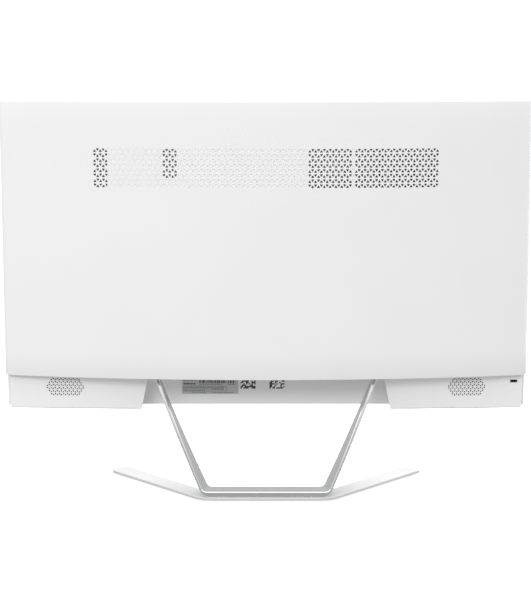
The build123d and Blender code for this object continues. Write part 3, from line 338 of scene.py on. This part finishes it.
SLOT_MATERIALS = {
    "cover_white": cover_white, "frame_white": frame_white, "button_white": button_white,
    "screen_black": screen_black, "diffuser_white": diffuser_white, "sheet_steel": steel,
    "hinge_steel": hinge_steel, "screw_steel": screw_steel, "bar_aluminium": bar_metal,
    "base_white": base_paint, "foot_rubber": rubber_black, "board_green": board_green,
    "chip_metal": chip_metal, "plated_copper": plated_copper, "fin_aluminium": fin_metal,
    "black_plastic": black_plastic, "port_metal": port_metal, "drive_metal": drive_metal,
    "label_silver": label_silver, "wire_black": wire_black, "ribbon_white": ribbon_white,
}
for part in frame["record"]["subparts"]:
    node = nodes[part["node"]]
    node.data.materials.clear()
    node.data.materials.append(SLOT_MATERIALS[part["material_slot"]])
nodes["code_labels"].data.materials[0] = make_sticker()


# ---------------------------------------------------------------- rear cover
def back_y(x, inset=0.0):
    """The arched back's depth at x, for a skin that lies inset below the outer one."""
    return BACK_CENTRE_Y + math.sqrt((BACK_R - inset) ** 2 - x * x)


CORNER_X = HALF_W - COVER_CORNER_R
CORNER_Y = BACK_CENTRE_Y + math.sqrt((BACK_R - COVER_CORNER_R) ** 2 - CORNER_X ** 2)
CORNER_TURN = math.atan2(CORNER_Y - BACK_CENTRE_Y, CORNER_X)
VENT_HALF_W = (VENT_COLUMNS + 1) / 2 * VENT_PITCH / 2
VENT_LOW_Z = VENT_MID_Z - VENT_ROWS * VENT_ROW_H / 2
VENT_HIGH_Z = VENT_MID_Z + VENT_ROWS * VENT_ROW_H / 2
CORNER_STEPS = 8
PLAIN_COLUMNS = 9
COVER_LEVELS = [150 * MM, 190 * MM, 230 * MM, 270 * MM, 300 * MM]
COVER_UPPER_LEVEL = 385 * MM
COVER_LIP_R = 0.5 * MM
LIP_CUT = 0.3                   # where the lower edge's rounding is halfway, as a share of its radius
TOP_STEPS = 5


def lattice_columns():
    """Where the vent lattice meets its upper and lower border, between the field's two ends."""
    first = -VENT_HALF_W + VENT_PITCH / 2
    count = (VENT_COLUMNS + 1) // 2
    return [-VENT_HALF_W] + [first + k * VENT_PITCH for k in range(count)] + [VENT_HALF_W]


def back_columns():
    """All x values across the arched back, from left to right."""
    edge = BACK_R * math.cos(CORNER_TURN)
    plain = [VENT_HALF_W + (edge - VENT_HALF_W) * k / PLAIN_COLUMNS for k in range(1, PLAIN_COLUMNS + 1)]
    return [-x for x in reversed(plain)] + lattice_columns() + plain


def cover_outline(inset):
    """Plan outline of the cover from its left seam, round the back, to its right seam."""
    corner = []
    for step in range(CORNER_STEPS):
        angle = CORNER_TURN * step / CORNER_STEPS
        radius = COVER_CORNER_R - inset
        corner.append((CORNER_X + radius * math.cos(angle), CORNER_Y + radius * math.sin(angle)))
    right = [(HALF_W - inset, SEAM_Y)] + corner
    left = [(-x, y) for x, y in right]
    scale = (BACK_R - inset) / BACK_R
    edge = BACK_R * math.cos(CORNER_TURN)
    back = []
    for x in back_columns():
        shifted = math.copysign(edge * scale, x) if abs(abs(x) - edge) < 1e-9 else x
        back.append((shifted, back_y(shifted, inset)))
    return left + back + list(reversed(right))


def open_cell(row, column):
    """Whether this triangle of the vent field goes right through."""
    return any(first <= column < last and row < rows for first, last, rows in VENT_WINDOWS)


def cell_geometry(row, column):
    """Corners of a triangular cell and of its rounded hole, as (x, z)."""
    x = ((VENT_COLUMNS - 1) / 2 - column) * VENT_PITCH / 2
    top = VENT_HIGH_Z - row * VENT_ROW_H
    points_up = (row + column) % 2 == 0
    sign = 1 if points_up else -1
    middle_z = top - VENT_ROW_H * (2 / 3 if points_up else 1 / 3)
    corners, hole = [], []
    for k in range(3):
        angle = math.radians(90 * sign + 120 * k)
        direction = Vector((math.cos(angle), math.sin(angle)))
        corners.append(Vector((x, middle_z)) + direction * (VENT_PITCH / math.sqrt(3)))
        centre = Vector((x, middle_z)) + direction * (VENT_HOLE_R - 2 * VENT_ROUND)
        for step in range(4):
            turn = angle + math.radians(-60 + 40 * step)
            hole.append(centre + Vector((math.cos(turn), math.sin(turn))) * VENT_ROUND)
    return corners, hole


def on_back(point, inset=0.0):
    """Puts an (x, z) point on the arched back."""
    return (point.x, back_y(point.x, inset), point.y)


def add_cell_skin(bm, corners, hole, inset):
    """The flat ring of one skin between a cell's border and its hole."""
    for k in range(3):
        a, b = corners[k], corners[(k + 1) % 3]
        for step in range(3):
            add_face(bm, [on_back(a, inset), on_back(hole[4 * k + step], inset),
                          on_back(hole[4 * k + step + 1], inset)])
        add_face(bm, [on_back(a, inset), on_back(hole[4 * k + 3], inset),
                      on_back(hole[(4 * k + 4) % 12], inset), on_back(b, inset)])


def add_vent_field(bm):
    """The triangular lattice: open windows, and shallow embossing everywhere else."""
    for row in range(VENT_ROWS):
        for column in range(VENT_COLUMNS):
            corners, hole = cell_geometry(row, column)
            opened = open_cell(row, column)
            add_cell_skin(bm, corners, hole, 0.0)
            depth = WALL if opened else VENT_EMBOSS
            for i in range(12):
                j = (i + 1) % 12
                add_face(bm, [on_back(hole[i]), on_back(hole[j]),
                              on_back(hole[j], depth), on_back(hole[i], depth)])
            if opened:
                add_cell_skin(bm, corners, hole, WALL)
            else:
                add_face(bm, [on_back(point, VENT_EMBOSS) for point in hole], 1)
                add_face(bm, [on_back(point, WALL) for point in corners])
        # half cells that square off the ends of each row
        top = VENT_HIGH_Z - row * VENT_ROW_H
        low = top - VENT_ROW_H
        inner = VENT_HALF_W - VENT_PITCH / 2
        for side in (1, -1):
            end_column = 0 if side > 0 else VENT_COLUMNS - 1
            points_up = (row + end_column) % 2 == 0
            apex = top if points_up else low
            for inset in (0.0, WALL):
                add_face(bm, [on_back(Vector((side * VENT_HALF_W, low if points_up else top)), inset),
                              on_back(Vector((side * VENT_HALF_W, apex)), inset),
                              on_back(Vector((side * inner, apex)), inset)])


def add_skin(bm, rings):
    """Quads between neighbouring rings of (inset, z), leaving the vent field out."""
    outlines = [[(x, y, z) for x, y in cover_outline(inset)] for inset, z in rings]
    for ring, (lower, upper) in enumerate(zip(outlines, outlines[1:])):
        at_vents = abs(rings[ring][1] - VENT_LOW_Z) < 1e-9
        for i in range(len(lower) - 1):
            middle = (lower[i][0] + lower[i + 1][0]) / 2
            on_arch = lower[i][1] > CORNER_Y
            if at_vents and on_arch and abs(middle) < VENT_HALF_W:
                continue
            add_face(bm, [lower[i], lower[i + 1], upper[i + 1], upper[i]])
    return outlines


POD_HALF_W = 266 * MM
POD_END_Y = 13.03 * MM
POD_MID_Y = 23 * MM
SHELF_X = (122 * MM, 264 * MM)
SHELF_RISE = (0.6 * MM, 2.8 * MM)       # bottom and top, above the cover's lower edge
SHELF_GAP = 0.4 * MM
SHELF_STEPS = 16


def pod_outline(margin):
    """Gives the depth of the pods' back, which the shelf meets, as a function of x."""
    half, end_y, mid_y = POD_HALF_W + margin, POD_END_Y + margin, POD_MID_Y + margin
    sag = mid_y - end_y
    radius = (half ** 2 + sag ** 2) / (2 * sag)
    return lambda x: mid_y - radius + math.sqrt(radius ** 2 - x * x)


def make_rear_cover(bm):
    """The cover as an outer and an inner skin, joined along the lower edge and the front rim."""
    cut = COVER_LIP_R * LIP_CUT
    outer = [(COVER_LIP_R, COVER_LOW_Z), (cut, COVER_LOW_Z + cut), (0.0, COVER_LOW_Z + COVER_LIP_R)]
    outer += [(0.0, z) for z in COVER_LEVELS]
    outer += [(0.0, VENT_LOW_Z), (0.0, VENT_HIGH_Z), (0.0, COVER_UPPER_LEVEL)]
    for step in range(TOP_STEPS + 1):
        angle = math.radians(90) * step / TOP_STEPS
        outer.append((COVER_TOP_R * (1 - math.cos(angle)), COVER_TOP_Z - COVER_TOP_R * (1 - math.sin(angle))))
    inner = [(WALL, COVER_LOW_Z)] + [(WALL, z) for z in COVER_LEVELS]
    inner += [(WALL, VENT_LOW_Z), (WALL, VENT_HIGH_Z), (WALL, COVER_TOP_Z - WALL)]
    outer_rings = add_skin(bm, outer)
    inner_rings = add_skin(bm, inner)
    add_face(bm, outer_rings[-1])
    add_face(bm, inner_rings[-1])
    for i in range(len(outer_rings[0]) - 1):
        add_face(bm, [outer_rings[0][i], outer_rings[0][i + 1], inner_rings[0][i + 1], inner_rings[0][i]])
    # the flat rim that meets the front frame
    rim = [ring[0] for ring in outer_rings] + [ring[-1] for ring in reversed(outer_rings)]
    rim += [ring[-1] for ring in inner_rings] + [ring[0] for ring in reversed(inner_rings)]
    add_face(bm, rim)
    add_vent_field(bm)


def make_cover_shelves(bm):
    """Shelves that close the overhang above each pod."""
    pod_y = pod_outline(SHELF_GAP)
    reach = SHELF_X[1] - SHELF_X[0]
    for side in (1, -1):
        xs = [side * (SHELF_X[0] + reach * k / SHELF_STEPS) for k in range(SHELF_STEPS + 1)]
        outline = [(x, back_y(x, WALL)) for x in xs] + [(x, pod_y(x)) for x in reversed(xs)]
        add_prism(bm, outline, COVER_LOW_Z + SHELF_RISE[0], COVER_LOW_Z + SHELF_RISE[1])


vent_floor = moulded("vent_floor_white", (0.85, 0.85, 0.853), 0.36)
cover = new_piece("rear_cover_shell", make_rear_cover, "display", [cover_white, vent_floor])
new_piece("cover_shelves", make_cover_shelves, "display", [cover_white])
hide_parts("rear_cover")

# ---------------------------------------------------------------- stand frame
PLATE_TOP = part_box("base_plate")[1].z
BAR_T = 6 * MM
BAR_TOP = PLATE_TOP + BAR_T
ARM_FOOT_X = 67.3 * MM
ARM_HEAD_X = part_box("stand_frame")[1].x
ARM_HEAD_Z = 125 * MM
ARM_TOP_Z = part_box("stand_frame")[1].z
ARM_FOOT_REAR_T = 3.0 * MM      # the arms are wedge-shaped: thin at the rear
ARM_FOOT_FRONT_T = 8.0 * MM
ARM_HEAD_T = 4.4 * MM
STRIP_REAR_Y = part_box("stand_frame")[1].y
STRIP_FRONT_Y = STRIP_REAR_Y - 22 * MM
ARM_MIDDLE_Z = 75 * MM
ARM_MIDDLE_REAR_Y = 49 * MM
ARM_MIDDLE_FRONT_Y = 32.5 * MM
ARM_HEAD_REAR_Y = 27.5 * MM
ARM_HEAD_FRONT_Y = 15 * MM
ARM_TOP_REAR_Y = 25 * MM
ARM_TOP_FRONT_Y = 5 * MM
ARM_STEP_Z = 141 * MM
ARM_CHAMFER = 0.9 * MM
OUTER_BEND_R = 12 * MM
INNER_BEND_R = 6 * MM
HEAD_BEND_R = 1 * MM
LONG_LEG = 50 * MM              # legs longer than this follow the side profile in many steps
LONG_LEG_STEPS = 16
BEND_STEPS = 10


def arc_line(start, middle, end, steps=14):
    """Side profile (z, y) along the circle through three (y, z) points."""
    (ay, az), (by, bz), (cy, cz) = start, middle, end
    twice = 2 * (ay * (bz - cz) + by * (cz - az) + cy * (az - bz))
    squares = [y * y + z * z for y, z in (start, middle, end)]
    centre_y = (squares[0] * (bz - cz) + squares[1] * (cz - az) + squares[2] * (az - bz)) / twice
    centre_z = (squares[0] * (cy - by) + squares[1] * (ay - cy) + squares[2] * (by - ay)) / twice
    radius = math.hypot(ay - centre_y, az - centre_z)
    heights = [az + (cz - az) * k / steps for k in range(steps + 1)]
    return [(z, centre_y + math.sqrt(radius ** 2 - (z - centre_z) ** 2)) for z in heights]


rear_line = [(0, STRIP_REAR_Y)]
rear_line += arc_line((STRIP_REAR_Y, BAR_TOP), (ARM_MIDDLE_REAR_Y, ARM_MIDDLE_Z),
                      (ARM_HEAD_REAR_Y, ARM_HEAD_Z))
rear_line += [(ARM_TOP_Z, ARM_TOP_REAR_Y)]
front_line = [(0, STRIP_FRONT_Y)]
front_line += arc_line((STRIP_FRONT_Y, BAR_TOP), (ARM_MIDDLE_FRONT_Y, ARM_MIDDLE_Z),
                       (ARM_HEAD_FRONT_Y, ARM_HEAD_Z))
front_line += [(ARM_STEP_Z, ARM_TOP_FRONT_Y), (ARM_TOP_Z, ARM_TOP_FRONT_Y)]


def along(line, z):
    """Reads a side profile, a list of (z, y), at a height."""
    for (z0, y0), (z1, y1) in zip(line, line[1:]):
        if z <= z1:
            return y0 + (y1 - y0) * (z - z0) / (z1 - z0)
    return line[-1][1]


def split_arms(path):
    """Adds points along the two long arms of a front-view line so that they can follow the side profile."""
    finer = [path[0]]
    for a, b in zip(path, path[1:]):
        steps = LONG_LEG_STEPS if abs(b.y - a.y) > LONG_LEG else 1
        finer += [a.lerp(b, k / steps) for k in range(1, steps + 1)]
    return finer


def frame_paths():
    """Outer line and the rear and front inner lines of the bent bar in front view, point for point."""
    lean = (ARM_HEAD_X - ARM_FOOT_X) / (ARM_HEAD_Z - BAR_TOP)
    corner_x = ARM_FOOT_X - lean * BAR_T
    outer = [(-ARM_HEAD_X, ARM_TOP_Z), (-ARM_HEAD_X, ARM_HEAD_Z), (-corner_x, PLATE_TOP),
             (corner_x, PLATE_TOP), (ARM_HEAD_X, ARM_HEAD_Z), (ARM_HEAD_X, ARM_TOP_Z)]
    bends = [HEAD_BEND_R, OUTER_BEND_R, OUTER_BEND_R, HEAD_BEND_R]
    lines = [split_arms(rounded_path(outer, bends, BEND_STEPS))]
    bends = [HEAD_BEND_R, INNER_BEND_R, INNER_BEND_R, HEAD_BEND_R]
    head_x = ARM_HEAD_X - ARM_HEAD_T
    for foot_t in (ARM_FOOT_REAR_T, ARM_FOOT_FRONT_T):
        foot_x = ARM_FOOT_X - foot_t
        inner = [(-head_x, ARM_TOP_Z), (-head_x, ARM_HEAD_Z), (-foot_x, BAR_TOP),
                 (foot_x, BAR_TOP), (head_x, ARM_HEAD_Z), (head_x, ARM_TOP_Z)]
        lines.append(split_arms(rounded_path(inner, bends, BEND_STEPS)))
    return zip(*lines)


def make_stand_bar(bm):
    """The bar as rings of eight points: four faces and four polished chamfers."""
    rings = []
    for out_point, rear_point, front_point in frame_paths():
        out_rear = along(rear_line, out_point.y)
        out_front = along(front_line, out_point.y)
        in_rear = along(rear_line, rear_point.y)
        in_front = along(front_line, front_point.y)
        rear_step = (rear_point - out_point).normalized() * ARM_CHAMFER
        front_step = (front_point - out_point).normalized() * ARM_CHAMFER
        corners = [(out_point + rear_step, out_rear), (out_point, out_rear - ARM_CHAMFER),
                   (out_point, out_front + ARM_CHAMFER), (out_point + front_step, out_front),
                   (front_point - front_step, in_front), (front_point, in_front + ARM_CHAMFER),
                   (rear_point, in_rear - ARM_CHAMFER), (rear_point - rear_step, in_rear)]
        rings.append([(flat.x, y, flat.y) for flat, y in corners])
    for a, b in zip(rings, rings[1:]):
        for i in range(8):
            j = (i + 1) % 8
            add_face(bm, [a[i], a[j], b[j], b[i]], 1 if i in (0, 2, 4, 6) else 0)
    add_face(bm, rings[0])
    add_face(bm, rings[-1])


stand_bar = new_piece("stand_bar", make_stand_bar, "stand", [bar_metal, bar_polished], 25)
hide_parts("stand_frame")

# ---------------------------------------------------------------- labels: generic print, no lettering
label_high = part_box("rating_label")[1]
PRINT_LIFT = 0.02 * MM
BAR_FIELD_X = (32 * MM, 70 * MM)
BAR_FIELD_Z = (110.6 * MM, 119 * MM)
PRINT_ROWS = (                  # x range, z, height and dash length, in mm
    ((45, 70), 109.0, 0.7, (0.6, 2.2)), ((32, 40), 109.0, 0.9, (0.8, 2.0)),
    ((72, 86.5), 113.2, 0.6, (0.8, 2.5)), ((73.5, 86.5), 109.0, 1.5, (1.4, 2.8)),
    ((43, 86), 105.7, 0.6, (0.8, 3.0)), ((60, 86), 104.1, 0.5, (0.8, 2.2)),
    ((44, 58), 103.6, 1.0, (0.8, 1.8)), ((64, 86), 102.6, 0.5, (0.8, 3.0)),
    ((34, 57), 99.9, 0.6, (0.8, 1.6)), ((62, 78), 99.9, 0.5, (0.8, 2.2)),
)
BOX_X = (41 * MM, 87 * MM)
BOX_Z = (101.8 * MM, 107.4 * MM)
BOX_LINE = 0.3 * MM
CODE_CELL = 1.45 * MM
CODE_PATCHES = ((10.5 * MM, 27.4 * MM), (-20.0 * MM, -2.0 * MM))
CODE_MARGIN = (0.4 * MM, 0.3 * MM)
CODE_FILL = 0.6
CODE_MARK = 0.97                # the marks' size as a share of a cell


def add_dashes(bm, draw, x, z, height, dash):
    """A row of dashes of random length between x[0] and x[1], from the label's left end."""
    start = x[1]
    while start > x[0] + dash[0]:
        end = max(start - draw.uniform(*dash), x[0])
        add_block(bm, (end, label_high.y, z), (start, label_high.y + PRINT_LIFT, z + height))
        start = end - draw.uniform(0.35, 0.8) * MM


def make_label_print(bm):
    """Bars, rules and dashes in place of words."""
    draw = random.Random(7)
    x = BAR_FIELD_X[1]
    while x > BAR_FIELD_X[0]:
        width = draw.choice((0.5, 0.8, 1.2)) * MM
        add_block(bm, (x - width, label_high.y, BAR_FIELD_Z[0]),
                  (x, label_high.y + PRINT_LIFT, BAR_FIELD_Z[1]))
        x -= width + draw.choice((0.4, 0.6, 0.9)) * MM
    for (x0, x1), z, height, dash in PRINT_ROWS:
        add_dashes(bm, draw, (x0 * MM, x1 * MM), z * MM, height * MM, (dash[0] * MM, dash[1] * MM))
    face_y = label_high.y + PRINT_LIFT
    (x0, x1), (z0, z1) = BOX_X, BOX_Z
    side_z0, side_z1 = z0 + BOX_LINE, z1 - BOX_LINE
    for low, high in (((x0, z0), (x1, side_z0)), ((x0, side_z1), (x1, z1)),
                      ((x0, side_z0), (x0 + BOX_LINE, side_z1)), ((x1 - BOX_LINE, side_z0), (x1, side_z1))):
        add_block(bm, (low[0], label_high.y, low[1]), (high[0], face_y, high[1]))


def make_code_print(bm):
    """Loose squares on the two code patches, with no real code's corner marks."""
    draw = random.Random(11)
    low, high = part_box("code_labels")
    mark = CODE_CELL * CODE_MARK
    for x0, x1 in CODE_PATCHES:
        columns = int((x1 - x0 - 2 * CODE_MARGIN[0]) / CODE_CELL)
        rows = int((high.z - low.z - 2 * CODE_MARGIN[1]) / CODE_CELL)
        for i in range(columns):
            for j in range(rows):
                if draw.random() < CODE_FILL:
                    x = x0 + CODE_MARGIN[0] + i * CODE_CELL
                    z = low.z + CODE_MARGIN[1] + j * CODE_CELL
                    add_block(bm, (x, high.y, z), (x + mark, high.y + PRINT_LIFT, z + mark))


new_piece("label_print", make_label_print, "display", [label_ink])
new_piece("code_print", make_code_print, "display", [label_ink])

# ---------------------------------------------------------------- stage, light and camera
FLOOR_HALF = 30
BACKDROP_R = 28
BACKDROP_SIDES = 32
BACKDROP_Z = (-1, 28)
# two rises of the world's brightness with the direction's height, which add up:
# strength below and above each, and the heights where it starts and ends
WORLD_STEPS = ((0.54, 0.66, -0.16, -0.04), (0.0, 0.68, 0.36, 0.66))
CAMERA_PLACE = (0.0005, 1.726, 0.4761)
CAMERA_DROP = math.radians(9.1)


def make_sheet(name, quads, glow):
    """Studio sheet that glows evenly for the camera and lights nothing."""
    bm = bmesh.new()
    for quad in quads:
        add_face(bm, quad)
    bmesh.ops.remove_doubles(bm, verts=bm.verts, dist=MM)
    mesh = bpy.data.meshes.new(name)
    bm.to_mesh(mesh)
    bm.free()
    sheet = bpy.data.objects.new(name, mesh)
    bpy.context.scene.collection.objects.link(sheet)
    made = Shader(name + "_white", (0.9, 0.9, 0.9), 0.7).tint(3, 0.004)
    made.set(Emission_Color=(1, 1, 1, 1), Emission_Strength=glow)
    mesh.materials.append(made.material)
    sheet.visible_diffuse = False
    sheet.visible_glossy = False
    sheet.visible_shadow = False


def make_stage():
    """A pale floor inside a closed ring of backdrop."""
    far = FLOOR_HALF
    make_sheet("floor", [[(-far, -far, 0), (far, -far, 0), (far, far, 0), (-far, far, 0)]], 0.62)
    turns = [math.tau * k / BACKDROP_SIDES for k in range(BACKDROP_SIDES)]
    ring = [(BACKDROP_R * math.cos(turn), BACKDROP_R * math.sin(turn)) for turn in turns]
    low, high = BACKDROP_Z
    walls = []
    for (x0, y0), (x1, y1) in zip(ring, ring[1:] + ring[:1]):
        walls.append([(x0, y0, low), (x1, y1, low), (x1, y1, high), (x0, y0, high)])
    make_sheet("backdrop", walls, 1.0)


def add_area(name, place, aim, size, power):
    """Rectangular lamp turned towards a point; metal doesn't mirror it."""
    light = bpy.data.lights.new(name, "AREA")
    light.shape = "RECTANGLE"
    light.size, light.size_y = size
    light.energy = power
    lamp = bpy.data.objects.new(name, light)
    lamp.location = place
    lamp.rotation_euler = (Vector(aim) - Vector(place)).to_track_quat("-Z", "Y").to_euler()
    lamp.visible_glossy = False
    bpy.context.scene.collection.objects.link(lamp)


def make_light():
    """A bright dome overhead and a dim lower half, with a large soft key behind and a small fill in front."""
    world = bpy.data.worlds.new("studio")
    bpy.context.scene.world = world
    world.use_nodes = True
    tree = world.node_tree
    background = tree.nodes["Background"]
    background.inputs["Color"].default_value = (1, 1, 1, 1)
    place = tree.nodes.new("ShaderNodeTexCoord")
    split = tree.nodes.new("ShaderNodeSeparateXYZ")
    tree.links.new(place.outputs["Generated"], split.inputs["Vector"])
    strength = None
    for low, high, start, end in WORLD_STEPS:
        rise = tree.nodes.new("ShaderNodeMapRange")
        for name, value in (("From Min", start), ("From Max", end), ("To Min", low), ("To Max", high)):
            rise.inputs[name].default_value = value
        tree.links.new(split.outputs["Z"], rise.inputs["Value"])
        if strength is None:
            strength = rise.outputs["Result"]
        else:
            total = tree.nodes.new("ShaderNodeMath")
            tree.links.new(strength, total.inputs[0])
            tree.links.new(rise.outputs["Result"], total.inputs[1])
            strength = total.outputs["Value"]
    tree.links.new(strength, background.inputs["Strength"])
    add_area("key", (1.05, 2.4, 1.5), (0, 0, 0.25), (1.5, 0.8), 28)
    add_area("fill", (-0.9, -0.3, 0.5), (-0.2, 0, 0), (0.5, 0.5), 5)
    bpy.context.scene.view_settings.view_transform = "Standard"


def make_camera():
    """The camera stands behind the object, a little above its top edge."""
    data = bpy.data.cameras.new("camera")
    data.sensor_width = 36
    data.lens = 100.9
    data.clip_end = 100
    camera = bpy.data.objects.new("camera", data)
    camera.location = CAMERA_PLACE
    camera.rotation_euler = (math.radians(90) - CAMERA_DROP, 0, math.radians(180))
    bpy.context.scene.collection.objects.link(camera)
    bpy.context.scene.camera = camera


make_stage()
make_light()
make_camera()
